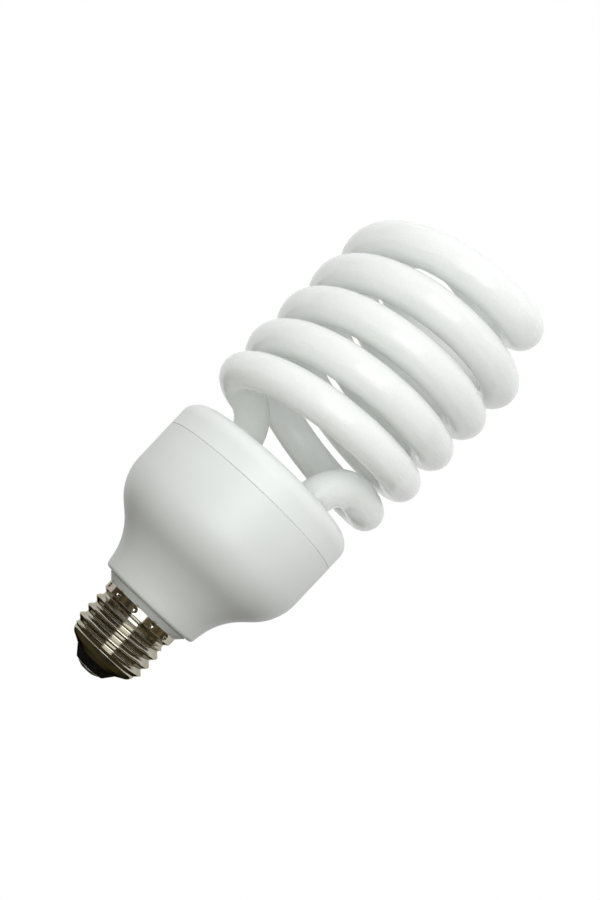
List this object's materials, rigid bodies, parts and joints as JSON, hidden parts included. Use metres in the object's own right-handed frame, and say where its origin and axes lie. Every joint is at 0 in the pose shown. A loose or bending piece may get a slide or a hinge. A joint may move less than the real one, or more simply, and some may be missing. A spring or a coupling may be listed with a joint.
{
  "type": "compact fluorescent bulb",
  "caption": "Spiral compact fluorescent bulb: a bent white glass tube on a flared ballast housing with a medium screw base, with the ballast inside.",
  "frame": {"origin": "middle of the centre contact's flat tip, on the axis of the screw base", "axes": "+Z along the screw base's axis from the contact to the tube's top; in the picture's view +X is to the right of the upright lamp and +Y is away from the viewer"},
  "size_m": [0.0701, 0.0702, 0.1687],
  "materials": {
    "tube_glass": "gloss, white phosphor coating inside",
    "housing_plastic": "satin",
    "cover_plastic": "satin",
    "shell_metal": "nickel-plated",
    "insulator": "gloss",
    "contact_metal": "tinned",
    "cement": "matt",
    "board": "bare laminate",
    "capacitor_can": "sleeved can",
    "ferrite": "matt",
    "bobbin_plastic": "matt",
    "copper": "enamelled",
    "black_package": "matt",
    "film_capacitor": "dipped",
    "resistor_body": "painted",
    "tinned_wire": "tinned",
    "live_wire": "insulated",
    "neutral_wire": "insulated"
  },
  "bodies": {
    "root": {"base_insulator": "insulator", "base_resistor_1": "resistor_body", "base_resistor_2": "resistor_body", "blocking_capacitor": "film_capacitor", "bulk_capacitor": "capacitor_can", "centre_contact": "contact_metal", "choke_bobbin": "bobbin_plastic", "choke_core_lower": "ferrite", "choke_core_upper": "ferrite", "choke_winding": "copper", "circuit_board": "board", "diac": "resistor_body", "discharge_tube": "tube_glass", "driver_toroid": "ferrite", "filament_lead_1": "tinned_wire", "filament_lead_2": "tinned_wire", "filament_lead_3": "tinned_wire", "filament_lead_4": "tinned_wire", "filter_choke": "ferrite", "fusible_resistor": "resistor_body", "housing": "housing_plastic", "live_lead": "live_wire", "neutral_lead": "neutral_wire", "rectifier_diode_1": "black_package", "rectifier_diode_2": "black_package", "rectifier_diode_3": "black_package", "rectifier_diode_4": "black_package", "resonant_capacitor": "film_capacitor", "screw_shell": "shell_metal", "starting_capacitor": "film_capacitor", "top_cover": "cover_plastic", "toroid_windings": "copper", "transistor_1": "black_package", "transistor_2": "black_package", "tube_cement_1": "cement", "tube_cement_2": "cement", "wrap_pin_1": "tinned_wire", "wrap_pin_2": "tinned_wire", "wrap_pin_3": "tinned_wire", "wrap_pin_4": "tinned_wire"}
  },
  "joints": []
}
